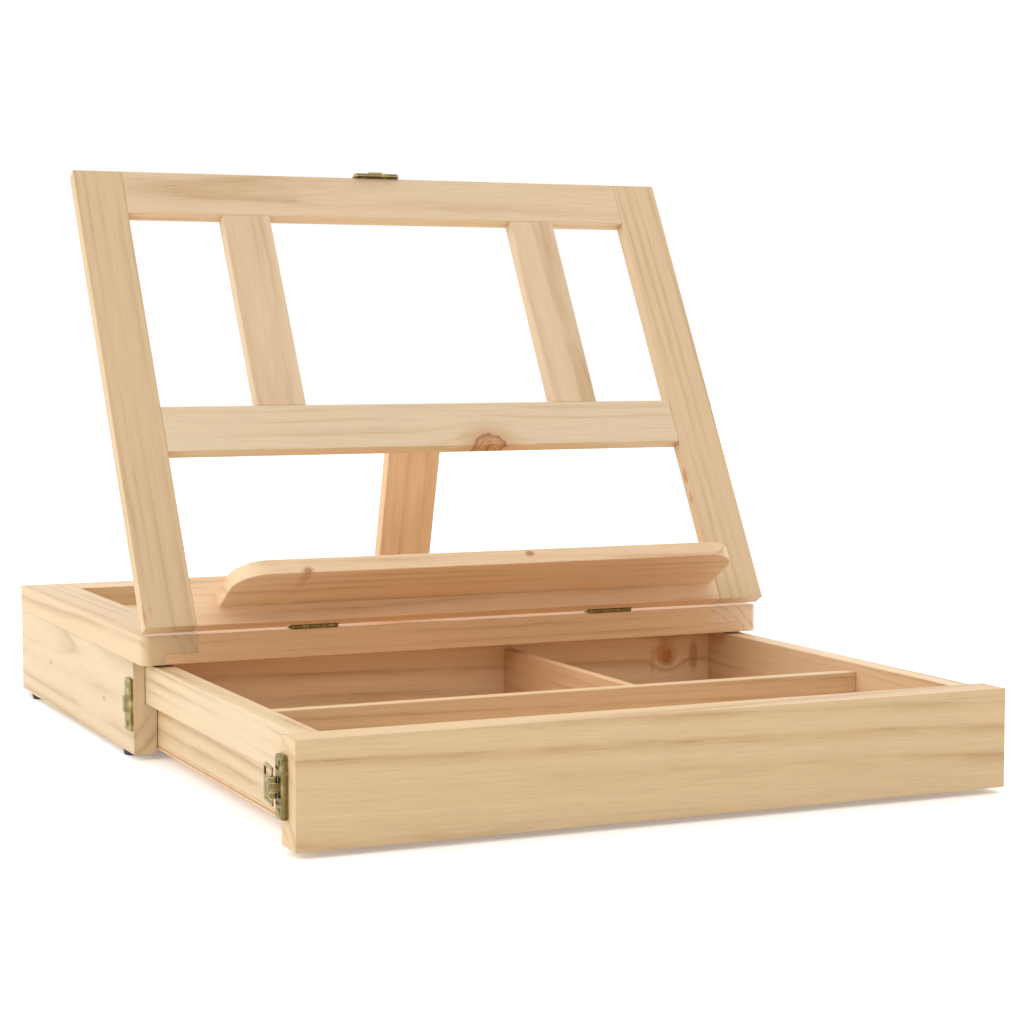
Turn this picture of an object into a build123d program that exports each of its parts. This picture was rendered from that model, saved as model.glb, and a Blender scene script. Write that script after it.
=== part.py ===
"""Tabletop box easel: a shallow box with one drawer, a tilting easel frame and a folding prop.

Every board, hinge leaf, latch part and screw set is its own node. The easel frame hinges on the
top front edge of the box, the prop hinges on the easel's middle rail, the drawer slides on the
stepped side panels, and three toggle latches hold the drawer and the closed easel.

Frame: +X right, +Y back, +Z up, Z = 0 at the underside of the feet, X = 0 at the middle of the
width, Y = 0 at the middle of the whole depth with the drawer pulled out.
"""
import os
from math import cos, radians, sin

from build123d import *

# ---- overall ------------------------------------------------------------------------------
WIDTH = 420.0            # box and easel, left to right
DEPTH = 322.0            # box, front to back
FOOT_H = 3.5
BOX_H = 74.5             # underside of the side panels to the top of the frame
EDGE = 0.4               # small eased edge on every board
TOP = FOOT_H + BOX_H
HALF = WIDTH / 2

# ---- top frame of the box -----------------------------------------------------------------
RAIL_T = 17.5
RAIL_W = 35.0
LAP_T = 11.0             # thickness of the side rails above the corner lap
LAP_X = 14.5             # width of the side rails beside the corner lap
CORNER_R = 5.0           # rounded outer corners
PANEL_T = 3.0            # plywood floor of the recess
PANEL_DROP = 13.5        # recess depth
GROOVE = 4.0

# ---- sides and back of the box ------------------------------------------------------------
SIDE_SET = 0.6           # side panels sit this far inside the frame's ends
SIDE_T = 14.4
RUNNER_T = 7.0           # side panel thickness above the drawer runner step
RUNNER_Z = TOP - 43.8    # height of the runner step
SIDE_FRONT = 22.0        # setback of the side panels, filled by the closed drawer front
BACK_T = 9.0
FOOT_R = 7.0

# ---- drawer -------------------------------------------------------------------------------
PULL = 277.0             # how far the drawer stands open at rest
FRONT_T = 21.5
DRAWER_TOP = TOP - 18.8
DRAWER_FLOOR = 9.5       # top of the plywood bottom
PLY_T = 3.1
DSIDE_OUT = HALF - 8.0   # outer face of the drawer sides above the runner step
DSIDE_LOW = HALF - 15.5  # outer face of the drawer sides below the step
DSIDE_IN = HALF - 21.0
DBACK_IN = 304.0         # inner face of the drawer back, from the drawer front's face
DBACK_T = 8.0
DIV_TOP = TOP - 23.7
DIV_LONG = (121.5, 129.5)      # front to back span of the long divider, from the drawer's face
DIV_SHORT = (37.5, 43.5)       # left to right span of the short divider

# ---- easel frame --------------------------------------------------------------------------
TILT = 60.15             # degrees above horizontal at rest
AXIS_Y = 0.0             # hinge axis, from the box's front face
AXIS_UP = 1.5            # hinge axis above the frame's top
EASEL_L = 321.5
EASEL_T = 9.3
EASEL_S0 = 0.3           # lower end of the easel, from the hinge axis
EASEL_N0 = -0.5          # back face of the easel, from the hinge axis
STILE_W = 32.0
ERAIL_W = 31.8
MID = (116.8, 148.2)     # middle rail, from the lower end
SLATS = ((-115.0, -82.7), (91.3, 123.3))
LEDGE_X = (-163.0, 173.0)
LEDGE_S = 11.1           # underside of the ledge, from the easel's lower end
LEDGE_T = 9.5
LEDGE_OUT = 46.0
LEDGE_R = 20.0

# ---- prop ---------------------------------------------------------------------------------
PROP_X = -1.0
PROP_W = 36.0
PROP_L = 138.6           # pivot to foot
PROP_FOLD = 135.15       # degrees from lying in the easel's plane to the rest pose
PIVOT_S = 148.2          # pivot, from the easel's hinge axis
RESTS = ((113.2, 9.1), (140.0, 6.75), (164.0, 5.2))    # setback and height of the foot rests
REST_W = 70.0

# ---- hinges -------------------------------------------------------------------------------
HINGE_X = (-101.0, 101.0)
HINGE_W = 29.0
PROP_HINGE_W = 27.0
BARREL_R = 1.5
PIN_R = 0.8
PIN_GAP = 0.05
LEAF_T = 0.8
LEAF_L = 10.5
CENTRE_W = 10.0          # middle knuckle
PIN_POINT = 2.8          # pointed end of the box hinge pins

# ---- latches ------------------------------------------------------------------------------
LATCH_W = 32.8
LATCH_L = 11.0
LATCH_BACK = 4.5         # base's end on the strike's side, from the lever's axis
LATCH_H = 3.6
LATCH_AXIS_H = 5.9
KNUCKLE_R = 2.05
KNUCKLE_W = 4.8          # base's knuckle between the lever's two
LATCH_PIN_R = 0.5
LEVER_W = 11.0
LEVER_L = 8.2
LOOP_W = 19.3
LOOP_L = 21.0            # far end of the loop from the lever's axis
LOOP_WIRE = 1.5
LOOP_ARM = 1.3           # loop pivot from the lever's axis
LOOP_DROP = 2.65         # the loop's far bar lies this much nearer the wood
LOOP_HANG = 8.0          # degrees that brings the hanging rear loop upright
STRIKE_W = 32.0
STRIKE_L = 12.0
STRIKE_H = 2.4
HOOK_W = 9.7
HOOK_H = 4.0
LATCH_Z = TOP - 44.1     # height of the drawer latches' middle

SCREW_R = 0.9
HEAD_R = 1.65
HEAD_H = 0.6
SCREW_L = 7.0

Y_MID = (DEPTH + LATCH_AXIS_H + KNUCKLE_R - PULL) / 2
NODES = {}


def keep(name, *solids):
    """Store one node, moved from the box's working frame to the part's own frame."""
    NODES[name] = [Pos(0, -Y_MID, 0) * s for s in solids]


def block(x0, x1, y0, y1, z0, z1):
    return Pos((x0 + x1) / 2, (y0 + y1) / 2, (z0 + z1) / 2) * Box(x1 - x0, y1 - y0, z1 - z0)


def board(x0, x1, y0, y1, z0, z1, ease=EDGE):
    """A plain board with small eased edges."""
    b = block(x0, x1, y0, y1, z0, z1)
    return chamfer(b.edges(), ease)


def profile_x(points, x0, x1):
    """Extrude a (y, z) outline along X."""
    face = make_face(Polyline(*[(x0, y, z) for y, z in points], close=True))
    return extrude(face, amount=x1 - x0, dir=(1, 0, 0))


def profile_y(points, y0, y1):
    """Extrude an (x, z) outline along Y."""
    face = make_face(Polyline(*[(x, y0, z) for x, z in points], close=True))
    return extrude(face, amount=y1 - y0, dir=(0, 1, 0))


def rod_x(r, x0, x1, y=0.0, z=0.0):
    return Pos((x0 + x1) / 2, y, z) * Rot(0, 90, 0) * Cylinder(r, x1 - x0)


def mirror_x(solid):
    return mirror(solid, about=Plane.YZ)


# ---- screws: head seat on z = 0 of their own frame, shank along -z -------------------------
def screw(loc, length=SCREW_L):
    head = Pos(0, 0, HEAD_H / 2) * Cylinder(HEAD_R, HEAD_H)
    head = fillet(head.edges().sort_by(Axis.Z)[-1], 0.4)
    shank = Pos(0, 0, -(length - 1.5) / 2) * Cylinder(SCREW_R, length - 1.5)
    tip = Pos(0, 0, -length + 0.75) * Cone(0.25, SCREW_R, 1.5)
    cross = Pos(0, 0, 0.5) * (Box(1.9, 0.45, 0.5) + Box(0.45, 1.9, 0.5))
    return loc * (head + shank + tip - cross)


def screw_hole(loc, length=SCREW_L):
    return loc * (Pos(0, 0, -length / 2) * Cylinder(SCREW_R + 0.1, length + 0.4))


# ---- butt hinges: axis along X through the origin ------------------------------------------
def knuckles(width, which):
    """Barrel pieces of one leaf, 'centre' or 'outer'."""
    half = width / 2
    mid = CENTRE_W / 2
    if which == "centre":
        return rod_x(BARREL_R, -mid + 0.1, mid - 0.1)
    return rod_x(BARREL_R, -half, -mid - 0.1) + rod_x(BARREL_R, mid + 0.1, half)


def leaf(width, which, n0, hole_x, shown=-1):
    """One leaf along +Y, its thickness from n0 to n0 + LEAF_T, with heads sunk in its shown face."""
    half = width / 2
    mid = CENTRE_W / 2
    clear = BARREL_R + 0.25
    plate = block(-half, half, clear, LEAF_L, n0, n0 + LEAF_T)
    plate = fillet(plate.edges().filter_by(Axis.Z).sort_by(Axis.Y)[-2:], 1.5)
    if which == "centre":
        tabs = block(-mid + 0.1, mid - 0.1, 0.2, clear, n0, n0 + LEAF_T)
    else:
        tabs = block(-half, -mid - 0.1, 0.2, clear, n0, n0 + LEAF_T)
        tabs += block(mid + 0.1, half, 0.2, clear, n0, n0 + LEAF_T)
    body = plate + tabs + knuckles(width, which) - rod_x(PIN_R + PIN_GAP, -half - 1, half + 1)
    sunk = n0 + HEAD_H / 2 if shown < 0 else n0 + LEAF_T - HEAD_H / 2
    for x in hole_x:
        body -= Pos(x, 6.2, n0) * Cylinder(SCREW_R + 0.1, 4)
        body -= Pos(x, 6.2, sunk) * Cylinder(HEAD_R + 0.1, HEAD_H)
    return body


def hinge_pin(width, point=0.0):
    """A pin the width of the barrel, with an optional pointed end on the left."""
    half = width / 2
    pin = rod_x(PIN_R, -half, half)
    if point:
        pin += Pos(-half - 0.4, 0, 0) * Rot(0, 90, 0) * Cylinder(1.2, 0.8)
        pin += Pos(-half - 0.8 - point / 2, 0, 0) * Rot(0, 90, 0) * Cone(0.25, 1.2, point)
    return pin


HINGE_HOLES = (-9.0, 9.0)

# ---- latches: width along X, draw direction along +Y, outward along +Z ----------------------
LATCH_SCREWS = [Location((x, -1.2, LATCH_H)) for x in (-12.1, 12.1)]


def latch_base():
    """Stamped base with a rounded front edge, a middle knuckle and two screw holes."""
    half = LATCH_W / 2
    body = block(-half, half, LATCH_BACK - LATCH_L, LATCH_BACK, 0, LATCH_H)
    body = fillet(body.edges().filter_by(Axis.Z).sort_by(Axis.Y)[:2], 3.0)
    body = fillet(body.edges().filter_by(Axis.Z).sort_by(Axis.Y)[-2:], 1.0)
    top_edges = body.faces().sort_by(Axis.Z)[-1].edges()
    front = top_edges.filter_by(Axis.X).sort_by(Axis.Y)[:1]
    body = fillet(front, 1.6)
    mid = KNUCKLE_W / 2
    body += rod_x(KNUCKLE_R, -mid, mid, 0, LATCH_AXIS_H)
    body += block(-mid, mid, -KNUCKLE_R, KNUCKLE_R, LATCH_H - 0.6, LATCH_AXIS_H)
    for loc in LATCH_SCREWS:
        body -= screw_hole(loc, 12)
    return body - rod_x(LATCH_PIN_R, -mid - 1, mid + 1, 0, LATCH_AXIS_H)


def latch_pin():
    return rod_x(LATCH_PIN_R, -LEVER_W / 2 + 0.1, LEVER_W / 2 - 0.1, 0, LATCH_AXIS_H)


def latch_lever():
    """Two knuckles joined by a thumb plate with a turned-up end; the loop pivots off-centre in them."""
    h = LATCH_AXIS_H
    half = LEVER_W / 2
    outline = [(0, h + 0.75), (7.0, h + 0.75), (LEVER_L, h + 0.95), (LEVER_L, h + 1.85), (7.0, h + 1.65),
               (0, h + 1.65)]
    body = rod_x(KNUCKLE_R, -half, half, 0, h) + profile_x(outline, -half, half)
    body -= block(-KNUCKLE_W / 2 - 0.1, KNUCKLE_W / 2 + 0.1, -3, KNUCKLE_R + 0.25, 0, 12)
    body -= rod_x(LATCH_PIN_R + PIN_GAP, -9, 9, 0, h)
    return body - rod_x(LATCH_PIN_R + PIN_GAP, -9, 9, LOOP_ARM, h)


def latch_loop():
    """Loop sloping down to its far bar, with two stub pins that turn in the lever's knuckles."""
    h = LATCH_AXIS_H
    half = LOOP_W / 2
    near = LOOP_ARM - 0.55
    outline = [(near, h - 0.65), (LOOP_L, h - LOOP_DROP - 0.65), (LOOP_L, h - LOOP_DROP + 0.65),
               (near, h + 0.65)]
    outer = profile_x(outline, -half, half)
    outer = fillet(outer.edges().filter_by(Axis.Z).sort_by(Axis.Y)[-2:], 3.0)
    inner = block(-half + LOOP_WIRE, half - LOOP_WIRE, LOOP_ARM - 2, LOOP_L - LOOP_WIRE, 0, 12)
    inner = fillet(inner.edges().filter_by(Axis.Z).sort_by(Axis.Y)[-2:], 1.6)
    stub = rod_x(LATCH_PIN_R, 3.0, half - 0.8, LOOP_ARM, h)
    return outer - inner + stub + mirror_x(stub)


def strike():
    """Catch plate from y = 0 to STRIKE_L with a ramped hook whose mouth faces +Y."""
    half = STRIKE_W / 2
    body = block(-half, half, 0, STRIKE_L, 0, STRIKE_H)
    body = fillet(body.edges().filter_by(Axis.Z), 1.8)
    body = chamfer(body.faces().sort_by(Axis.Z)[-1].edges(), 0.6)
    hook = profile_x([(1.2, STRIKE_H - 0.8), (9.0, STRIKE_H - 0.8), (9.4, STRIKE_H + 0.3),
                      (10.9, STRIKE_H + 0.5), (10.9, HOOK_H - 0.3), (10.3, HOOK_H), (6.0, HOOK_H),
                      (2.6, STRIKE_H + 0.5)], -HOOK_W / 2, HOOK_W / 2)
    body += hook
    for x in (-11.6, 11.6):
        body -= Pos(x, STRIKE_L / 2, 0) * Cylinder(SCREW_R + 0.1, 12)
    return body


# ---- placements of the hardware -------------------------------------------------------------
EASEL_LOC = Location((0, AXIS_Y, TOP + AXIS_UP), (TILT, 0, 0))
PIVOT_N = EASEL_N0 - BARREL_R
PROP_LOC = EASEL_LOC * Location((PROP_X, PIVOT_S, PIVOT_N), (-PROP_FOLD, 0, 0))
LATCH_Y = -PULL + 16.5
LATCH_LEFT = Plane((-HALF, LATCH_Y, LATCH_Z), x_dir=(0, 0, 1), z_dir=(-1, 0, 0)).location
LATCH_RIGHT = Plane((HALF, LATCH_Y, LATCH_Z), x_dir=(0, 0, -1), z_dir=(1, 0, 0)).location
LATCH_REAR = Plane((-1.5, DEPTH, TOP - 4.7), x_dir=(-1, 0, 0), z_dir=(0, 1, 0)).location
SIDE_FACE = HALF - SIDE_SET
STRIKE_LEFT = Plane((-SIDE_FACE, SIDE_FRONT + 0.4, LATCH_Z), x_dir=(0, 0, 1), z_dir=(-1, 0, 0)).location
STRIKE_RIGHT = Plane((SIDE_FACE, SIDE_FRONT + 0.4, LATCH_Z), x_dir=(0, 0, -1), z_dir=(1, 0, 0)).location
EASEL_END = Plane((-1.5, EASEL_S0 + EASEL_L, EASEL_N0 + 0.2), x_dir=(-1, 0, 0), z_dir=(0, 1, 0)).location
STRIKE_TOP = EASEL_LOC * EASEL_END
HINGE_LOCS = [Location((x, AXIS_Y, TOP + AXIS_UP)) for x in HINGE_X]
HINGE_LOCS_EASEL = [EASEL_LOC * Location((x, 0, 0)) for x in HINGE_X]

STRIKE_SCREWS = [Location((x, STRIKE_L / 2, STRIKE_H)) for x in (-11.6, 11.6)]
FIXED_SCREWS = [Location((x, 6.2, -AXIS_UP + LEAF_T - HEAD_H)) for x in HINGE_HOLES]
MOVING_SCREWS = [Location((x, 6.2, EASEL_N0 + HEAD_H), (180, 0, 0)) for x in HINGE_HOLES]
RAIL_SCREWS = [Location((x, -6.2, BARREL_R - LEAF_T + HEAD_H), (180, 0, 0)) for x in HINGE_HOLES]
PROP_SCREWS = [Location((x, 6.2, BARREL_R - LEAF_T + HEAD_H), (180, 0, 0)) for x in HINGE_HOLES]
PIVOT_LOC = EASEL_LOC * Location((PROP_X, PIVOT_S, PIVOT_N))


def placed(base, locals_):
    return [base * loc for loc in locals_]


drawer_screws = placed(LATCH_LEFT, LATCH_SCREWS) + placed(LATCH_RIGHT, LATCH_SCREWS)
side_screws = placed(STRIKE_LEFT, STRIKE_SCREWS) + placed(STRIKE_RIGHT, STRIKE_SCREWS)
rear_screws = placed(LATCH_REAR, LATCH_SCREWS)
top_screws = placed(STRIKE_TOP, STRIKE_SCREWS)
fixed_screws = [s for loc in HINGE_LOCS for s in placed(loc, FIXED_SCREWS)]
moving_screws = [s for loc in HINGE_LOCS_EASEL for s in placed(loc, MOVING_SCREWS)]
rail_screws = placed(PIVOT_LOC, RAIL_SCREWS)
prop_screws = placed(PROP_LOC, PROP_SCREWS)


def drilled(solid, screws, length=SCREW_L):
    for loc in screws:
        solid = solid - screw_hole(loc, length)
    return solid


# ---- top frame ------------------------------------------------------------------------------
FRAME_Z0 = TOP - RAIL_T
FLOOR_Z = TOP - PANEL_DROP
LAP_Z = TOP - LAP_T
RAIL_IN = HALF - RAIL_W
LAP_IN = HALF - LAP_X


def side_rail():
    """Left rail: full depth, rounded outer corners, lapped over both cross rails."""
    rail = block(-HALF, -RAIL_IN, 0, DEPTH, FRAME_Z0, TOP)
    outer = rail.edges().filter_by(Axis.Z).group_by(Axis.X)[0].sort_by(Axis.Y)
    rail = fillet(outer[:1], CORNER_R)
    outer = rail.edges().filter_by(Axis.Z).group_by(Axis.X)[0].sort_by(Axis.Y)
    rail = fillet(outer[-1:], 1.5)
    rail = chamfer(rail.faces().sort_by(Axis.Z)[-1].edges(), EDGE)
    for y0, y1 in ((-1.0, RAIL_W), (DEPTH - RAIL_W, DEPTH + 1.0)):
        rail -= block(-LAP_IN, -RAIL_IN + 1, y0, y1, FRAME_Z0 - 1, LAP_Z)
    rail -= block(-RAIL_IN - GROOVE, -RAIL_IN + 1, RAIL_W - GROOVE, DEPTH - RAIL_W + GROOVE,
                  FLOOR_Z - PANEL_T, FLOOR_Z)
    return rail


def cross_rail(y0, inner_side):
    """Front or rear rail with a tongue under each side rail and a groove for the panel."""
    outline = [(-RAIL_IN, TOP), (RAIL_IN, TOP), (RAIL_IN, LAP_Z), (LAP_IN, LAP_Z), (LAP_IN, FRAME_Z0),
               (-LAP_IN, FRAME_Z0), (-LAP_IN, LAP_Z), (-RAIL_IN, LAP_Z)]
    rail = profile_y(outline, y0, y0 + RAIL_W)
    rail = chamfer(rail.edges().filter_by(Axis.X), EDGE)
    g0 = y0 + RAIL_W - GROOVE if inner_side > 0 else y0 - 1
    g1 = y0 + RAIL_W + 1 if inner_side > 0 else y0 + GROOVE
    return rail - block(-RAIL_IN - GROOVE, RAIL_IN + GROOVE, g0, g1, FLOOR_Z - PANEL_T, FLOOR_Z)


left_rail = side_rail()
keep("frame_rail_left", left_rail)
keep("frame_rail_right", mirror_x(left_rail))
keep("frame_rail_front", drilled(cross_rail(0.0, 1), fixed_screws))
keep("frame_rail_rear", drilled(cross_rail(DEPTH - RAIL_W, -1), rear_screws, SCREW_L + LATCH_H))
keep("recess_panel", block(-RAIL_IN - GROOVE + 0.2, RAIL_IN + GROOVE - 0.2, RAIL_W - GROOVE + 0.2,
                           DEPTH - RAIL_W + GROOVE - 0.2, FLOOR_Z - PANEL_T, FLOOR_Z))


def foot_rest(y, height):
    """Low batten that the prop's foot stands on, sloping away behind the foot."""
    outline = [(y - 7.0, FLOOR_Z), (y - 6.2, FLOOR_Z + height), (y, FLOOR_Z + height),
               (y + 4.0, FLOOR_Z + height - 0.9), (y + 4.8, FLOOR_Z)]
    return profile_x(outline, PROP_X - REST_W / 2, PROP_X + REST_W / 2)


keep("prop_stops", *[foot_rest(y, h) for y, h in RESTS])

# ---- sides, back and feet -------------------------------------------------------------------
side_low = SIDE_FACE - SIDE_T
side_up = SIDE_FACE - RUNNER_T
side_outline = [(-SIDE_FACE, FOOT_H), (-side_low, FOOT_H), (-side_low, RUNNER_Z), (-side_up, RUNNER_Z),
                (-side_up, FRAME_Z0), (-SIDE_FACE, FRAME_Z0)]
side = profile_y(side_outline, SIDE_FRONT, DEPTH)
side = chamfer(side.edges().filter_by(Axis.Y).group_by(Axis.X)[0], EDGE)
keep("side_panel_left", drilled(side, placed(STRIKE_LEFT, STRIKE_SCREWS), SCREW_L + STRIKE_H))
keep("side_panel_right", drilled(mirror_x(side), placed(STRIKE_RIGHT, STRIKE_SCREWS), SCREW_L + STRIKE_H))
back_outline = [(-side_low, FOOT_H), (side_low, FOOT_H), (side_low, RUNNER_Z), (side_up, RUNNER_Z),
                (side_up, FRAME_Z0), (-side_up, FRAME_Z0), (-side_up, RUNNER_Z), (-side_low, RUNNER_Z)]
keep("back_panel", profile_y(back_outline, DEPTH - BACK_T, DEPTH))

foot = Pos(0, 0, FOOT_H / 2) * Cone(FOOT_R - 0.6, FOOT_R, FOOT_H)
foot = fillet(foot.edges().sort_by(Axis.Z)[:1], 0.6)
feet = []
for x in (-SIDE_FACE + 7.2, SIDE_FACE - 7.2):
    for y in (47.0, 293.0):
        feet.append(Pos(x, y, 0) * foot)
keep("feet", *feet)

# ---- drawer, modelled where it stands at rest -------------------------------------------------
D0 = -PULL
front = board(-HALF, HALF, D0, D0 + FRONT_T, FOOT_H, TOP - 18.5)
keep("drawer_front", drilled(front, drawer_screws, SCREW_L + LATCH_H))
d_back = D0 + DBACK_IN + DBACK_T
dside_outline = [(-DSIDE_OUT, DRAWER_TOP), (-DSIDE_IN, DRAWER_TOP), (-DSIDE_IN, DRAWER_FLOOR),
                 (-DSIDE_LOW, DRAWER_FLOOR), (-DSIDE_LOW, RUNNER_Z + 0.3), (-DSIDE_OUT, RUNNER_Z + 0.3)]
dside = profile_y(dside_outline, D0 + FRONT_T, d_back)
dside = chamfer(dside.edges().filter_by(Axis.Y), EDGE)
keep("drawer_side_left", dside)
keep("drawer_side_right", mirror_x(dside))
keep("drawer_back", board(-DSIDE_IN, DSIDE_IN, D0 + DBACK_IN, d_back, DRAWER_FLOOR, DRAWER_TOP))
keep("drawer_bottom", block(-DSIDE_LOW, DSIDE_LOW, D0 + FRONT_T, d_back, DRAWER_FLOOR - PLY_T, DRAWER_FLOOR))
keep("divider_long", board(-DSIDE_IN, DSIDE_IN, D0 + DIV_LONG[0], D0 + DIV_LONG[1], DRAWER_FLOOR, DIV_TOP))
keep("divider_short", board(DIV_SHORT[0], DIV_SHORT[1], D0 + DIV_LONG[1], D0 + DBACK_IN, DRAWER_FLOOR,
                            DIV_TOP))

# ---- easel frame, modelled flat about its hinge axis and tilted -------------------------------
E_N1 = EASEL_N0 + EASEL_T
E_S1 = EASEL_S0 + EASEL_L
E_IN = HALF - STILE_W


def easel_board(x0, x1, s0, s1):
    return board(x0, x1, EASEL_S0 + s0, EASEL_S0 + s1, EASEL_N0, E_N1)


def hinge_mortise(x):
    half = HINGE_W / 2 + 0.3
    seat = block(x - half, x + half, 0, LEAF_L + 0.2, EASEL_N0 - 1, EASEL_N0 + LEAF_T)
    return seat + block(x - half - PIN_POINT - 1, x + half, 0, BARREL_R + 0.5, EASEL_N0 - 1, BARREL_R + 0.4)


bottom_rail = easel_board(-E_IN, E_IN, 0, ERAIL_W)
for hx in HINGE_X:
    bottom_rail -= hinge_mortise(hx)
keep("easel_stile_left", EASEL_LOC * easel_board(-HALF, -E_IN, 0, EASEL_L))
keep("easel_stile_right", EASEL_LOC * easel_board(E_IN, HALF, 0, EASEL_L))
top_rail = EASEL_LOC * easel_board(-E_IN, E_IN, EASEL_L - ERAIL_W, EASEL_L)
keep("easel_top_rail", drilled(top_rail, top_screws, SCREW_L + STRIKE_H))
keep("easel_mid_rail", drilled(EASEL_LOC * easel_board(-E_IN, E_IN, MID[0], MID[1]), rail_screws))
keep("easel_bottom_rail", drilled(EASEL_LOC * bottom_rail, moving_screws))
for side_name, (x0, x1) in zip(("left", "right"), SLATS):
    keep("easel_slat_" + side_name, EASEL_LOC * easel_board(x0, x1, MID[1], EASEL_L - ERAIL_W))

ledge_s0 = EASEL_S0 + LEDGE_S
ledge = block(LEDGE_X[0], LEDGE_X[1], ledge_s0, ledge_s0 + LEDGE_T, E_N1, E_N1 + LEDGE_OUT)
ledge = fillet(ledge.edges().filter_by(Axis.Y).group_by(Axis.Z)[-1], LEDGE_R)
ledge = chamfer(ledge.faces().sort_by(Axis.Z)[-1].edges().filter_by(Axis.X), EDGE)
keep("canvas_ledge", EASEL_LOC * ledge)

# ---- prop ---------------------------------------------------------------------------------------
prop = board(-PROP_W / 2, PROP_W / 2, 0.8, PROP_L, BARREL_R, BARREL_R + EASEL_T)
keep("prop_leg", drilled(PROP_LOC * prop, prop_screws))

# ---- hinges -------------------------------------------------------------------------------------
fixed_leaf = leaf(HINGE_W, "outer", -AXIS_UP, HINGE_HOLES, 1)
moving_leaf = leaf(HINGE_W, "centre", EASEL_N0, HINGE_HOLES)
keep("hinge_leaves_box", *[loc * fixed_leaf for loc in HINGE_LOCS])
keep("hinge_leaves_easel", *[loc * moving_leaf for loc in HINGE_LOCS_EASEL])
keep("hinge_pins", *[loc * hinge_pin(HINGE_W, PIN_POINT) for loc in HINGE_LOCS])
keep("hinge_screws_box", *[screw(loc) for loc in fixed_screws])
keep("hinge_screws_easel", *[screw(loc) for loc in moving_screws])

pivot_leaf = leaf(PROP_HINGE_W, "outer", BARREL_R - LEAF_T, HINGE_HOLES)
prop_leaf = leaf(PROP_HINGE_W, "centre", BARREL_R - LEAF_T, HINGE_HOLES)
keep("prop_hinge_leaf_rail", PIVOT_LOC * mirror(pivot_leaf, about=Plane.XZ))
keep("prop_hinge_leaf_leg", PROP_LOC * prop_leaf)
keep("prop_hinge_pin", PIVOT_LOC * hinge_pin(PROP_HINGE_W))
keep("prop_hinge_screws_rail", *[screw(loc) for loc in rail_screws])
keep("prop_hinge_screws_leg", *[screw(loc) for loc in prop_screws])

# ---- latches and strikes --------------------------------------------------------------------------
base, lever, loop = latch_base(), latch_lever(), latch_loop()
flipped = Pos(0, 0, LATCH_AXIS_H) * Rot(180, 0, 0) * Pos(0, 0, -LATCH_AXIS_H)
hanging = Pos(0, LOOP_ARM, LATCH_AXIS_H) * Rot(LOOP_HANG, 0, 0) * Pos(0, -LOOP_ARM, -LATCH_AXIS_H)
keep("drawer_latch_bases", LATCH_LEFT * base, LATCH_RIGHT * base)
keep("drawer_latch_pins", LATCH_LEFT * latch_pin(), LATCH_RIGHT * latch_pin())
keep("drawer_latch_screws", *[screw(loc, SCREW_L + LATCH_H) for loc in drawer_screws])
keep("latch_lever_left", LATCH_LEFT * lever)
keep("latch_loop_left", LATCH_LEFT * loop)
keep("latch_lever_right", LATCH_RIGHT * lever)
keep("latch_loop_right", LATCH_RIGHT * loop)
keep("rear_latch_base", LATCH_REAR * base)
keep("rear_latch_pin", LATCH_REAR * latch_pin())
keep("rear_latch_screws", *[screw(loc, SCREW_L + LATCH_H) for loc in rear_screws])
keep("latch_lever_rear", LATCH_REAR * flipped * lever)
keep("latch_loop_rear", LATCH_REAR * flipped * hanging * loop)
keep("side_strikes", STRIKE_LEFT * strike(), STRIKE_RIGHT * strike())
keep("side_strike_screws", *[screw(loc, SCREW_L + STRIKE_H) for loc in side_screws])
keep("top_strike", STRIKE_TOP * strike())
keep("top_strike_screws", *[screw(loc, SCREW_L + STRIKE_H) for loc in top_screws])

# ---- write ----------------------------------------------------------------------------------------
os.makedirs("parts", exist_ok=True)
for name, solids in NODES.items():
    shape = solids[0] if len(solids) == 1 else Compound(children=list(solids))
    export_step(shape, "parts/" + name + ".step")

if __name__ == "__main__":
    print(len(NODES), "nodes, middle of the depth at", round(Y_MID, 3))
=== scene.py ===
"""Tabletop box easel in pale pine: materials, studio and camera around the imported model."""
import math
from collections import namedtuple

import bpy
from mathutils import Matrix, Vector


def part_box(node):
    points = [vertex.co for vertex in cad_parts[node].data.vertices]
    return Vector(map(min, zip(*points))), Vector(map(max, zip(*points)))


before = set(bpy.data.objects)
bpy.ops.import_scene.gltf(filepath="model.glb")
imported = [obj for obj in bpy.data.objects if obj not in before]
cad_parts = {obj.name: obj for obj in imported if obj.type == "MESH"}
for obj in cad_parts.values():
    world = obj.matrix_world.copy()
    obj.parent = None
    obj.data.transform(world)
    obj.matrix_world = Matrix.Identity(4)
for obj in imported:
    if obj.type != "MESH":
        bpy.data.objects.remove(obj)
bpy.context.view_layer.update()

MM = 0.001
X, Y, Z = Vector((1, 0, 0)), Vector((0, 1, 0)), Vector((0, 0, 1))

EASEL_SLOPE = math.radians(60.15)
UP_EASEL = Vector((0, math.cos(EASEL_SLOPE), math.sin(EASEL_SLOPE)))
OUT_OF_EASEL = Vector((0, -math.sin(EASEL_SLOPE), math.cos(EASEL_SLOPE)))

PROP_SLOPE = math.radians(75)
DOWN_PROP = Vector((0, math.cos(PROP_SLOPE), -math.sin(PROP_SLOPE)))
OUT_OF_PROP = Vector((0, -math.sin(PROP_SLOPE), -math.cos(PROP_SLOPE)))


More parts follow.
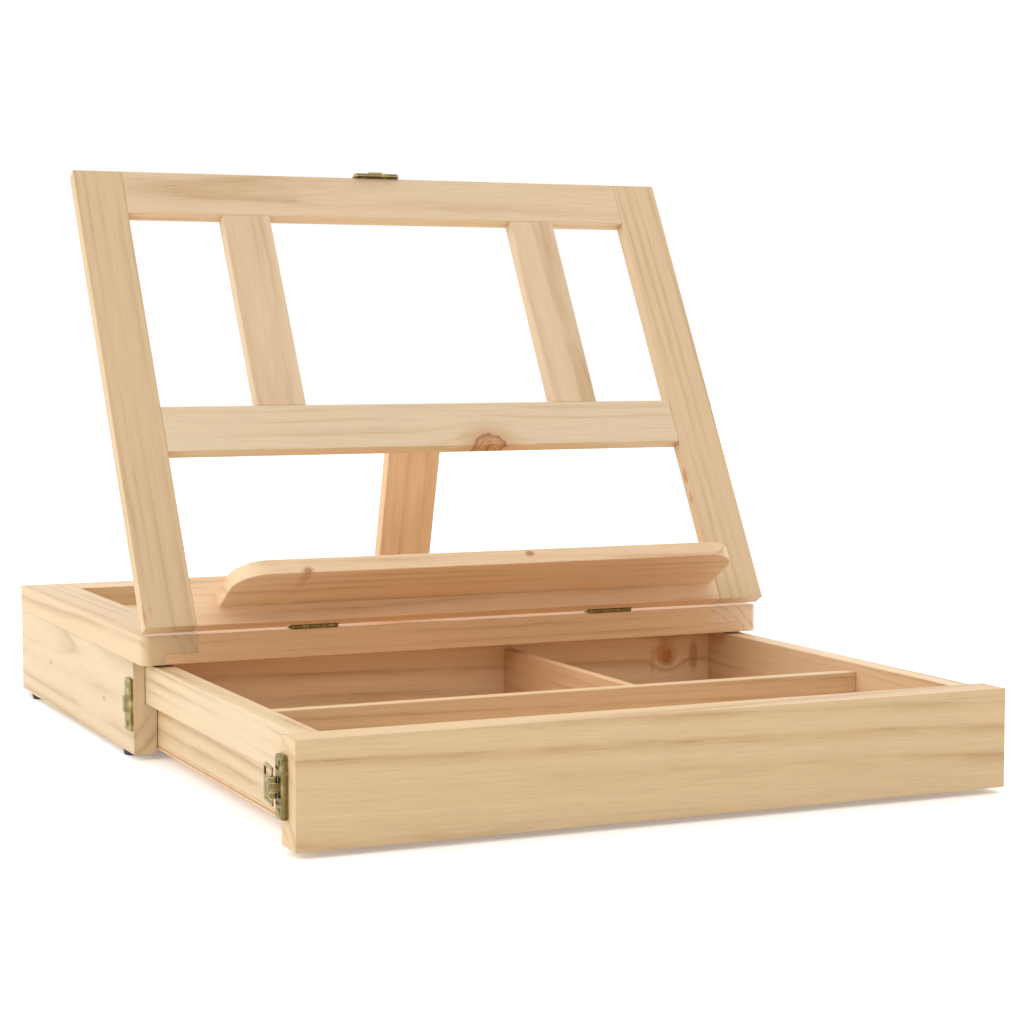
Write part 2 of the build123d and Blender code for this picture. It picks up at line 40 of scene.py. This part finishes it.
# ---- shader graphs ------------------------------------------------------------------------
class Graph:
    """A material's node tree, built by calls that each give back an output socket."""

    def __init__(self, name):
        self.material = bpy.data.materials.new(name)
        self.material.use_nodes = True
        self.tree = self.material.node_tree
        self.tree.nodes.clear()
        self.bsdf = self.node("BsdfPrincipled")
        out = self.node("OutputMaterial")
        self.tree.links.new(self.bsdf.outputs[0], out.inputs["Surface"])

    def node(self, kind, inputs=(), **settings):
        made = self.tree.nodes.new("ShaderNode" + kind)
        for key, value in settings.items():
            setattr(made, key, value)
        for key, value in dict(inputs).items():
            self.feed(made.inputs[key], value)
        return made

    def feed(self, socket, value):
        if isinstance(value, bpy.types.NodeSocket):
            self.tree.links.new(value, socket)
        else:
            socket.default_value = value

    def surface(self, socket, value):
        self.feed(self.bsdf.inputs[socket], value)

    def place(self):
        """Where a point is on the object, in metres; it rides along when the piece moves."""
        return self.node("TexCoord").outputs["Object"]

    def math(self, operation, *values, clamp=False):
        made = self.node("Math", operation=operation, use_clamp=clamp)
        for socket, value in zip(made.inputs, values):
            self.feed(socket, value)
        return made.outputs[0]

    def vector(self, operation, *values):
        made = self.node("VectorMath", operation=operation)
        for socket, value in zip(made.inputs, values):
            self.feed(socket, value)
        return made.outputs["Value" if operation in ("LENGTH", "DOT_PRODUCT") else "Vector"]

    def noise(self, vector, cycles, shift, detail, rough, out="Fac"):
        """Noise with its own cycles per metre on each axis, moved away from other noises."""
        moved = self.vector("MULTIPLY", vector, cycles)
        moved = self.vector("ADD", moved, (shift, shift * 0.37, -shift * 0.61))
        made = self.node("TexNoise", {"Vector": moved, "Scale": 1.0, "Detail": detail,
                                      "Roughness": rough})
        return made.outputs[out]

    def sway(self, vector, noise, reach):
        """Push points across the grain by a coloured noise, at most half of reach."""
        centred = self.vector("SUBTRACT", noise, (0.5, 0.5, 0.5))
        return self.vector("ADD", vector, self.vector("MULTIPLY", centred, (0, reach, reach)))

    def step(self, value, low, high, to_low=0.0, to_high=1.0):
        made = self.node("MapRange", {"Value": value, "From Min": low, "From Max": high,
                                      "To Min": to_low, "To Max": to_high},
                         interpolation_type="SMOOTHSTEP")
        return made.outputs["Result"]

    def ramp(self, value, *stops):
        made = self.node("ValToRGB", {"Fac": value})
        points = made.color_ramp.elements
        while len(points) < len(stops):
            points.new(0.5)
        for point, (position, level) in zip(points, stops):
            point.position = position
            point.color = (level, level, level, 1.0)
        return made.outputs["Color"]

    def mix(self, factor, first, second, blend="MIX"):
        made = self.node("Mix", data_type="RGBA", blend_type=blend)
        self.feed(made.inputs["Factor"], factor)
        for socket, value in zip((made.inputs[6], made.inputs[7]), (first, second)):
            self.feed(socket, (*value, 1.0) if isinstance(value, tuple) else value)
        return made.outputs[2]

    def shade_by(self, colour, value, darkest, lightest):
        grey = self.step(value, 0.2, 0.8, darkest, lightest)
        tint = self.node("CombineColor", {"Red": grey, "Green": grey, "Blue": grey})
        return self.mix(1.0, colour, tint.outputs["Color"], "MULTIPLY")

    def bumped(self, height, strength, depth):
        made = self.node("Bump", {"Strength": strength, "Distance": depth, "Height": height})
        self.surface("Normal", made.outputs["Normal"])


# Scales a colour channel by channel; the boards' tone factors fed through here are partly painted
# light and painted shade.
def tinted(colour, tone_and_painted_light):
    return tuple(c * t for c, t in zip(colour, tone_and_painted_light))


# ---- wood ---------------------------------------------------------------------------------
EARLY = (0.690, 0.497, 0.290)
LATE = (0.480, 0.290, 0.128)
PALE = (0.760, 0.572, 0.355)
PINK = (0.690, 0.455, 0.262)
STREAK = (0.400, 0.235, 0.110)
CANAL = (0.270, 0.125, 0.045)
KNOT_HALO = (0.520, 0.245, 0.100)
KNOT_PALE = (0.590, 0.300, 0.120)
KNOT_DARK = (0.290, 0.115, 0.042)
RESIN = (0.520, 0.205, 0.035)
KNOT_STAIN = (0.640, 0.270, 0.055)
DARK_FIGURE = (0.420, 0.190, 0.070)
SOFT_FIGURE = (0.500, 0.250, 0.100)

# Each noise in the wood: cycles per metre along and across the grain, shift from the board's
# seed, detail, roughness.
Figure = namedtuple("Figure", "cycles shift detail rough")
BEND = Figure((2.6, 16, 16), 0, 2.0, 0.45)
SHAKE = Figure((22, 170, 170), 9, 2.0, 0.5)
PATCH = Figure((7, 46, 46), 5, 3.0, 0.6)
FIBRE = Figure((30, 1500, 1500), 11, 3.0, 0.6)
STREAKS = Figure((6, 210, 210), 13, 4.0, 0.6)
BLUSH = Figure((3, 14, 14), 17, 2.0, 0.5)
CANALS = Figure((45, 1900, 1900), 23, 1.0, 0.4)
RAGGED = Figure((260, 260, 260), 3, 2.0, 0.5)
WIGGLE = Figure((500, 500, 500), 2, 2.0, 0.5)

SHAKE_REACH = 1.1 * MM
RING_UNEVEN_RATE = 0.45
RING_UNEVEN = 2.2
# One growth ring, from one dark line to the next: place in the ring, darkness.
RING_PROFILE = ((0.0, 0.42), (0.10, 0.14), (0.34, 0.0), (0.60, 0.20), (0.80, 0.62), (0.93, 1.0),
                (1.0, 0.42))
KNOT_RAGGED = 0.5         # how far a knot's outline strays, in knot sizes
KNOT_REACH = 2.6          # how far a knot bends the rings around it, in knot sizes

# A knot is at a point on the board, in mm, and swells the rings around it by so many rings.
# Its branch comes out of the board's "face" or its "edge"; squeeze shortens it along the grain.
Knot = namedtuple("Knot", "point size squeeze swell side")
# A mark is a patch of resin or dark figure: half its length along the grain, half its width.
Mark = namedtuple("Mark", "point half_long half_wide strength shade")


def figure(g, kind, local, seed, out="Fac"):
    return g.noise(local, kind.cycles, seed + kind.shift, kind.detail, kind.rough, out)


def grain_space(g, name, along, face, pith, turn, lift):
    """Axes of the growth rings, whose pith runs nearly along the board.

    Gives the socket of a point in those axes, and a function that takes a place in mm there.
    """
    across = face.cross(along)
    heart = (along + across * turn + face * lift).normalized()
    across = face.cross(heart).normalized()
    axes = Matrix((heart, across, heart.cross(across))).transposed()
    lowest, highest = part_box(name)
    origin = (lowest + highest) / 2 + axes @ Vector((0, pith[0] * MM, pith[1] * MM))
    mapping = {"Vector": g.place(), "Location": origin, "Rotation": axes.to_euler()}
    local = g.node("Mapping", mapping, vector_type="TEXTURE").outputs["Vector"]

    def inside(point):
        return tuple(axes.transposed() @ (Vector(point) * MM - origin))

    return local, inside


def ring_count(g, bent, ring):
    """Growth rings from the pith, of uneven width."""
    radius = g.vector("LENGTH", g.vector("MULTIPLY", bent, (0, 1, 1)))
    rings = g.math("DIVIDE", radius, ring * MM)
    uneven = g.node("TexNoise", {"W": g.math("MULTIPLY", rings, RING_UNEVEN_RATE), "Scale": 1.0,
                                 "Detail": 1.0}, noise_dimensions="1D").outputs["Fac"]
    return g.math("ADD", rings, g.math("MULTIPLY", uneven, RING_UNEVEN))


def knot_distance(g, local, bent, spot, knot, seed):
    off = g.vector("SUBTRACT", bent, spot)
    keep = (knot.squeeze, 1, 0) if knot.side == "face" else (knot.squeeze, 0, 1)
    apart = g.vector("LENGTH", g.vector("MULTIPLY", off, keep))
    stray = g.math("SUBTRACT", figure(g, RAGGED, local, seed), 0.5)
    return g.math("ADD", apart, g.math("MULTIPLY", stray, knot.size * MM * KNOT_RAGGED))


def swollen(g, rings, apart, knot):
    spread = g.math("DIVIDE", apart, knot.size * MM * KNOT_REACH)
    bump = g.math("EXPONENT", g.math("MULTIPLY", g.math("MULTIPLY", spread, spread), -1.0))
    return g.math("ADD", rings, g.math("MULTIPLY", bump, knot.swell))


def paint_knot(g, colour, local, apart, size, seed):
    """A stained halo, then fine rings in the knot with a dark middle and a dark rim."""
    colour = g.mix(g.step(apart, size * 2.6, size * 0.8, 0.0, 0.62), colour, KNOT_HALO)
    wiggle = figure(g, WIGGLE, local, seed)
    inner = g.math("FRACT", g.math("ADD", g.math("DIVIDE", apart, size * 0.23), wiggle))
    heart = g.mix(g.step(inner, 0.35, 0.95), KNOT_PALE, tinted(KNOT_PALE, (0.55, 0.55, 0.55)))
    heart = g.mix(g.step(apart, size * 0.28, size * 0.05, 0.0, 0.8), heart, KNOT_DARK)
    rim = g.math("MULTIPLY", g.step(apart, size * 0.72, size * 0.95), 0.85)
    heart = g.mix(rim, heart, KNOT_DARK)
    return g.mix(g.step(apart, size * 1.08, size * 0.96), colour, heart)


def paint_mark(g, colour, bent, spot, mark, streak):
    half = (mark.half_long, mark.half_wide, mark.half_wide)
    off = g.vector("MULTIPLY", g.vector("SUBTRACT", bent, spot), tuple(1 / (h * MM) for h in half))
    stray = g.math("MULTIPLY", g.math("SUBTRACT", streak, 0.5), 0.9)
    apart = g.math("ADD", g.vector("LENGTH", off), stray)
    return g.mix(g.step(apart, 1.0, 0.35, 0.0, mark.strength), colour, mark.shade)


def clear_wood(g, local, late, fibre, streak, pores, seed, tone_and_painted_light, pink_blush_and_painted_light):
    """Colour of wood without knots: early to late wood, blushes, streaks, fibres, canals."""
    # The pink amount sets how strong the board's own pink blush is; on the drawer back, dividers,
    # easel bottom rail and prop leg it is raised as painted light for warm bounced light.
    blush = g.math("MULTIPLY", g.step(figure(g, BLUSH, local, seed), 0.3, 0.7), pink_blush_and_painted_light)
    colour = g.mix(blush, tinted(EARLY, tone_and_painted_light), tinted(PINK, tone_and_painted_light))
    colour = g.mix(late, colour, tinted(LATE, tone_and_painted_light))
    colour = g.mix(g.step(streak, 0.55, 0.85, 0.0, 0.30), colour, STREAK)
    colour = g.mix(g.step(streak, 0.45, 0.15, 0.0, 0.22), colour, tinted(PALE, tone_and_painted_light))
    colour = g.shade_by(colour, fibre, 0.93, 1.07)
    return g.mix(pores, colour, CANAL)


def wood(name, along, face, seed, pith=(18, -42), turn=0.012, lift=0.006, ring=7.5, contrast=1.0,
         tone_and_painted_light=(1, 1, 1), pink_blush_and_painted_light=0.35, wave=3.0, knots=(), marks=()):
    """A board's own material, cut from around a pith that lies off its middle by pith, in mm.

    turn and lift slant the pith, ring is the rings' width and wave their bends, both in mm. The
    tone factor scaling every colour of the board is partly painted light and painted shade.
    """
    g = Graph("wood_" + name)
    local, inside = grain_space(g, name, along, face, pith, turn, lift)
    bent = g.sway(local, figure(g, BEND, local, seed, "Color"), wave * MM * 2)
    bent = g.sway(bent, figure(g, SHAKE, local, seed, "Color"), SHAKE_REACH)
    distances = [knot_distance(g, local, bent, inside(knot.point), knot, seed) for knot in knots]

    rings = ring_count(g, bent, ring)
    for knot, apart in zip(knots, distances):
        rings = swollen(g, rings, apart, knot)
    late = g.ramp(g.math("FRACT", rings), *RING_PROFILE)
    patch = g.step(figure(g, PATCH, local, seed), 0.36, 0.66, 0.12, 1.0)
    late = g.math("MULTIPLY", late, g.math("MULTIPLY", patch, contrast), clamp=True)

    fibre = figure(g, FIBRE, local, seed)
    streak = figure(g, STREAKS, local, seed)
    canal = g.step(figure(g, CANALS, local, seed), 0.66, 0.76)
    pores = g.math("MULTIPLY", canal, g.step(late, 0.0, 0.8, 0.15, 0.55))
    colour = clear_wood(g, local, late, fibre, streak, pores, seed, tone_and_painted_light, pink_blush_and_painted_light)
    for knot, apart in zip(knots, distances):
        size = knot.size * MM
        colour = paint_knot(g, colour, local, apart, size, seed)
        late = g.math("MAXIMUM", late, g.step(apart, size * 1.1, size * 0.9))
    for mark in marks:
        colour = paint_mark(g, colour, bent, inside(mark.point), mark, streak)

    g.surface("Base Color", colour)
    dull = g.step(fibre, 0.2, 0.8, 0.44, 0.56)
    g.surface("Roughness", g.math("ADD", dull, g.math("MULTIPLY", late, -0.06)))
    height = g.math("ADD", g.math("MULTIPLY", fibre, 0.35), g.math("MULTIPLY", late, 0.25))
    height = g.math("SUBTRACT", height, g.math("MULTIPLY", pores, 1.2))
    g.bumped(height, 0.35, 0.22 * MM)
    return g.material


# Each board's tone factor scales all its colours. Boards inside the drawer and frame, under the
# easel, the prop leg and the ledge are made lighter as painted light for the bounced light they
# get; front-facing boards such as the drawer front, the left stile and the left side panel are made
# darker as painted shade.
BOARDS = {
    "frame_rail_left": dict(
        along=Y, face=Z, seed=1.3, pith=(55, -30), ring=8.5, wave=3.5, tone_and_painted_light=(0.95, 0.96, 0.94)),
    "frame_rail_right": dict(
        along=Y, face=Z, seed=4.1, pith=(40, -45), ring=7.0, tone_and_painted_light=(1.18, 1.13, 1.20)),
    "frame_rail_front": dict(
        along=X, face=Z, seed=7.7, pith=(10, -60), ring=6.5, contrast=0.7, tone_and_painted_light=(1.20, 1.12, 1.05)),
    "frame_rail_rear": dict(along=X, face=Z, seed=9.2, pith=(-30, -50), ring=8.0),
    "side_panel_left": dict(
        along=Y, face=X, seed=12.4, pith=(22, -34), turn=0.03, lift=0.03, ring=9.5, wave=5.5,
        contrast=0.95, tone_and_painted_light=(0.93, 0.98, 1.02),
        knots=(Knot((-209, 66, 29), 1.1, 0.6, 0.12, "face"),
               Knot((-209, 208, 34), 1.0, 0.6, 0.10, "face"))),
    "side_panel_right": dict(
        along=Y, face=X, seed=15.8, pith=(-30, 40), turn=0.02, ring=9.0, wave=4.5),
    "back_panel": dict(
        along=X, face=Y, seed=19.5, pith=(12, -36), turn=0.015, lift=0.02, ring=9.5, wave=5.0),
    "drawer_front": dict(
        along=X, face=Y, seed=23.1, pith=(52, 30), turn=0.022, lift=0.012, ring=13.0, wave=7.0,
        contrast=0.85, pink_blush_and_painted_light=0.2, tone_and_painted_light=(0.94, 0.93, 0.88)),
    "drawer_side_left": dict(
        along=Y, face=X, seed=27.9, pith=(-40, 30), turn=0.02, ring=7.5, contrast=1.1,
        tone_and_painted_light=(0.95, 1.00, 1.03)),
    "drawer_side_right": dict(
        along=Y, face=X, seed=31.6, pith=(-36, -28), turn=0.015, ring=7.5, tone_and_painted_light=(1.05, 1.08, 1.12)),
    "drawer_back": dict(
        along=X, face=Y, seed=35.2, pith=(26, 42), ring=8.5, pink_blush_and_painted_light=0.7, tone_and_painted_light=(1.28, 1.36, 1.50),
        knots=(Knot((157, 0.5, 43), 3.4, 1.1, 1.5, "face"),),
        marks=(Mark((154, 0.5, 46), 9, 12, 0.62, KNOT_STAIN),
               Mark((177, 0.5, 42), 4.5, 15, 0.55, DARK_FIGURE),
               Mark((146, 0.5, 40), 3, 12, 0.35, SOFT_FIGURE))),
    "divider_long": dict(
        along=X, face=Y, seed=39.4, pith=(30, 40), ring=6.5, contrast=0.8, pink_blush_and_painted_light=0.5,
        tone_and_painted_light=(1.04, 1.03, 1.02)),
    "divider_short": dict(
        along=Y, face=X, seed=43.3, pith=(-30, 30), ring=6.5, contrast=0.8, pink_blush_and_painted_light=0.6,
        tone_and_painted_light=(1.04, 0.94, 0.90)),
    "prop_stops": dict(along=X, face=Z, seed=46.5, pith=(20, -40), ring=6.0),
    "easel_stile_left": dict(
        along=UP_EASEL, face=OUT_OF_EASEL, seed=51.2, pith=(62, -26), turn=0.01, ring=6.5,
        contrast=0.55, tone_and_painted_light=(0.90, 0.89, 0.86),
        marks=(Mark((-210.1, -30.3, 90.6), 9, 2.4, 0.6, RESIN),
               Mark((-205.2, -28.1, 94.3), 4, 1.6, 0.8, RESIN))),
    "easel_stile_right": dict(
        along=UP_EASEL, face=OUT_OF_EASEL, seed=55.9, pith=(-48, -30), turn=0.012, ring=7.0,
        contrast=0.65, tone_and_painted_light=(0.96, 0.96, 0.96),
        marks=(Mark((178, 15.5, 162.2), 7, 3.0, 0.85, RESIN),
               Mark((178, 6.9, 147.9), 5, 2.6, 0.7, RESIN))),
    "easel_top_rail": dict(
        along=X, face=OUT_OF_EASEL, seed=59.7, pith=(8, -34), turn=0.02, lift=0.02, ring=7.0,
        contrast=0.75, tone_and_painted_light=(1.00, 1.02, 1.09)),
    "easel_mid_rail": dict(
        along=X, face=OUT_OF_EASEL, seed=63.4, pith=(40, -40), turn=0.01, ring=6.0, contrast=0.45,
        tone_and_painted_light=(1.00, 1.09, 1.20), knots=(Knot((38.4, 24.5, 186), 8.0, 0.72, 1.2, "face"),)),
    "easel_bottom_rail": dict(
        along=X, face=OUT_OF_EASEL, seed=67.1, pith=(-36, -36), ring=7.5, contrast=0.8, pink_blush_and_painted_light=0.6,
        tone_and_painted_light=(1.22, 1.18, 1.24)),
    "easel_slat_left": dict(
        along=UP_EASEL, face=OUT_OF_EASEL, seed=71.8, pith=(4, -30), turn=0.02, lift=0.015,
        ring=7.5, contrast=0.85, tone_and_painted_light=(1.00, 1.02, 1.08)),
    "easel_slat_right": dict(
        along=UP_EASEL, face=OUT_OF_EASEL, seed=75.3, pith=(-10, -32), turn=0.02, lift=0.01,
        ring=7.5, contrast=0.9, tone_and_painted_light=(1.00, 1.02, 1.08)),
    "canvas_ledge": dict(
        along=X, face=UP_EASEL, seed=79.6, pith=(34, -30), turn=0.015, ring=8.0, contrast=0.8,
        tone_and_painted_light=(1.16, 1.16, 1.22),
        knots=(Knot((-119.7, -67.1, 118.7), 1.3, 0.6, 0.25, "edge"),
               Knot((26, -64.9, 122.6), 1.2, 0.6, 0.2, "edge"))),
    "prop_leg": dict(
        along=DOWN_PROP, face=OUT_OF_PROP, seed=83.2, pith=(24, -34), ring=7.0, contrast=0.8,
        pink_blush_and_painted_light=0.7, tone_and_painted_light=(1.28, 1.30, 1.38)),
}

PLY_CORE = (0.42, 0.25, 0.12)
PLY_SWIRL = Figure((2.2, 9, 0), 0, 3.0, 0.45)
PLY_FIBRE = Figure((26, 900, 40), 3, 3.0, 0.6)
PLY_LOOPS = 16.0
PLY_PROFILE = ((0.0, 0.5), (0.12, 0.1), (0.5, 0.0), (0.85, 0.55), (1.0, 0.9))
# The drawer bottom's tone factor makes it lighter as painted light for the bounced light inside the
# drawer.
PLY_SHEETS = {
    "recess_panel": dict(seed=2.5),
    "drawer_bottom": dict(seed=6.5, tone_and_painted_light=(1.15, 1.04, 0.97)),
}


def plywood(name, seed, tone_and_painted_light=(1, 1, 1)):
    """Rotary-cut veneer with its grain along X, over a darker crossed core."""
    lowest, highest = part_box(name)
    thick = highest.z - lowest.z
    g = Graph("ply_" + name)
    mapping = {"Vector": g.place(), "Location": (lowest + highest) / 2}
    local = g.node("Mapping", mapping, vector_type="TEXTURE").outputs["Vector"]
    loops = g.math("FRACT", g.math("MULTIPLY", figure(g, PLY_SWIRL, local, seed), PLY_LOOPS))
    late = g.math("MULTIPLY", g.ramp(loops, *PLY_PROFILE), 0.5)
    fibre = figure(g, PLY_FIBRE, local, seed)
    colour = g.mix(late, tinted(EARLY, tone_and_painted_light), tinted(LATE, tone_and_painted_light))
    colour = g.shade_by(colour, fibre, 0.92, 1.06)
    height = g.node("SeparateXYZ", {"Vector": local}).outputs["Z"]
    core = g.step(g.math("ABSOLUTE", height), thick * 0.24, thick * 0.20)
    g.surface("Base Color", g.mix(core, colour, PLY_CORE))
    g.surface("Roughness", g.step(fibre, 0.2, 0.8, 0.48, 0.60))
    g.bumped(fibre, 0.3, 0.15 * MM)
    return g.material


# ---- metal and rubber -----------------------------------------------------------------------
BRASS_HOLLOW = (0.205, 0.160, 0.062)
BRASS_RUBBED = (0.740, 0.600, 0.270)
BRASS_SPECK = (0.050, 0.035, 0.015)
BRASS_EDGE = 0.6 * MM
RUBBER_DARK = (0.028, 0.028, 0.030)
RUBBER_SCUFFED = (0.060, 0.058, 0.056)


def antique_brass(name, bright, seed):
    """Lacquered brass plate, darkened in the hollows and rubbed bright on the edges."""
    g = Graph(name)
    place = g.place()
    cloud = g.noise(place, (180, 180, 180), seed, 4.0, 0.6)
    speck = g.noise(place, (1400, 1400, 1400), seed + 5, 2.0, 0.5)
    soft = g.node("Bevel", {"Radius": BRASS_EDGE}, samples=6).outputs["Normal"]
    flat = g.node("NewGeometry").outputs["Normal"]
    edge = g.step(g.vector("DOT_PRODUCT", soft, flat), 0.995, 0.90)
    worn = g.step(cloud, 0.45, 0.75, 0.0, bright)
    rubbed = g.math("ADD", g.math("MULTIPLY", edge, 0.8), worn, clamp=True)
    colour = g.mix(rubbed, BRASS_HOLLOW, BRASS_RUBBED)
    g.surface("Base Color", g.mix(g.step(speck, 0.62, 0.8, 0.0, 0.5), colour, BRASS_SPECK))
    g.surface("Metallic", 1.0)
    g.surface("Roughness", g.step(cloud, 0.3, 0.7, 0.30, 0.46))
    g.bumped(speck, 0.25, 0.1 * MM)
    return g.material


def rubber(name):
    g = Graph(name)
    place = g.place()
    grain = g.noise(place, (2200, 2200, 2200), 3.0, 3.0, 0.6)
    scuff = g.noise(place, (240, 240, 240), 8.0, 3.0, 0.6)
    g.surface("Base Color", g.mix(g.step(scuff, 0.45, 0.75), RUBBER_DARK, RUBBER_SCUFFED))
    g.surface("Roughness", g.step(scuff, 0.3, 0.7, 0.62, 0.8))
    g.bumped(grain, 0.5, 0.2 * MM)
    return g.material


# ---- each piece gets its material -------------------------------------------------------------
def dress(name, material):
    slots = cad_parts[name].data.materials
    slots.clear()
    slots.append(material)


for board_name, facts in BOARDS.items():
    dress(board_name, wood(board_name, **facts))
for sheet_name, facts in PLY_SHEETS.items():
    dress(sheet_name, plywood(sheet_name, **facts))

plate = antique_brass("brass_plate", 0.70, 1.0)
moving = antique_brass("brass_lever", 0.85, 7.0)
heads = antique_brass("brass_screw", 0.95, 13.0)
tread = rubber("rubber_foot")


def hardware_material(name):
    if name == "feet":
        return tread
    if "screws" in name or "pin" in name:
        return heads
    if "lever" in name or "loop" in name:
        return moving
    return plate


for part_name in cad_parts:
    if part_name not in BOARDS and part_name not in PLY_SHEETS:
        dress(part_name, hardware_material(part_name))


# ---- studio ---------------------------------------------------------------------------------
KEY_PLACE, KEY_AIM = Vector((-2.6, 0.0, 1.2)), Vector((0, 0, 0.1))
KEY_SIZE = (1.8, 1.6)
KEY_POWER = 26
KEY_TINT = (0.95, 0.98, 1.0)
SKY_BEHIND = (0.41, 0.91, 0)
FLOOR_HALF = 6
PAPER = (0.93, 0.93, 0.925, 1)
PAPER_GLOW = 0.2

key_light = bpy.data.lights.new("key_left", "AREA")
key_light.shape = "RECTANGLE"
key_light.size, key_light.size_y = KEY_SIZE
key_light.energy = KEY_POWER
key_light.color = KEY_TINT
key = bpy.data.objects.new("key_left", key_light)
bpy.context.scene.collection.objects.link(key)
key.location = KEY_PLACE
key.rotation_euler = (KEY_AIM - KEY_PLACE).to_track_quat("-Z", "Y").to_euler()

world = bpy.data.worlds.new("studio")
bpy.context.scene.world = world
world.use_nodes = True
sky = world.node_tree.nodes
join = world.node_tree.links.new
sky_direction = sky.new("ShaderNodeTexCoord").outputs["Generated"]


def sky_fade(heading, low, high, to_low, to_high):
    """Light that changes smoothly with how far a direction points along one heading."""
    along = sky.new("ShaderNodeVectorMath")
    along.operation = "DOT_PRODUCT"
    along.inputs[1].default_value = heading
    join(sky_direction, along.inputs[0])
    fade = sky.new("ShaderNodeMapRange")
    fade.interpolation_type = "SMOOTHSTEP"
    bounds = {"From Min": low, "From Max": high, "To Min": to_low, "To Max": to_high}
    for socket, value in bounds.items():
        fade.inputs[socket].default_value = value
    join(along.outputs["Value"], fade.inputs["Value"])
    return fade.outputs["Result"]


sky_light = sky.new("ShaderNodeMath")
sky_light.operation = "ADD"
join(sky_fade(SKY_BEHIND, -0.3, 0.5, 0.52, 1.03), sky_light.inputs[0])
join(sky_fade(Z, 0.25, 0.85, 0.0, 0.75), sky_light.inputs[1])
sky["Background"].inputs["Color"].default_value = (1, 1, 1, 1)
join(sky_light.outputs[0], sky["Background"].inputs["Strength"])

floor_mesh = bpy.data.meshes.new("floor")
corners = [(x * FLOOR_HALF, y * FLOOR_HALF, 0) for x, y in ((-1, -1), (1, -1), (1, 1), (-1, 1))]
floor_mesh.from_pydata(corners, [], [(0, 1, 2, 3)])
floor = bpy.data.objects.new("floor", floor_mesh)
bpy.context.scene.collection.objects.link(floor)
paper = Graph("paper")
paper.surface("Base Color", PAPER)
paper.surface("Roughness", 0.9)
paper.surface("Emission Color", (1, 1, 1, 1))
paper.surface("Emission Strength", PAPER_GLOW)
floor_mesh.materials.append(paper.material)

# ---- camera ---------------------------------------------------------------------------------
YAW, PITCH = math.radians(24.273), math.radians(-4.2528)
CAMERA_PLACE = Vector((-0.58518, -1.39326, 0.25670))
LENS_MM, SENSOR_MM = 83.48, 36.0

ahead = Vector((math.sin(YAW) * math.cos(PITCH), math.cos(YAW) * math.cos(PITCH), math.sin(PITCH)))
aside = Vector((math.cos(YAW), -math.sin(YAW), 0))
lens = bpy.data.cameras.new("camera")
lens.sensor_width = SENSOR_MM
lens.lens = LENS_MM
camera = bpy.data.objects.new("camera", lens)
bpy.context.scene.collection.objects.link(camera)
turned = Matrix((aside, aside.cross(ahead), -ahead)).transposed().to_4x4()
turned.translation = CAMERA_PLACE
camera.matrix_world = turned
bpy.context.scene.camera = camera
bpy.context.scene.view_settings.view_transform = "Standard"
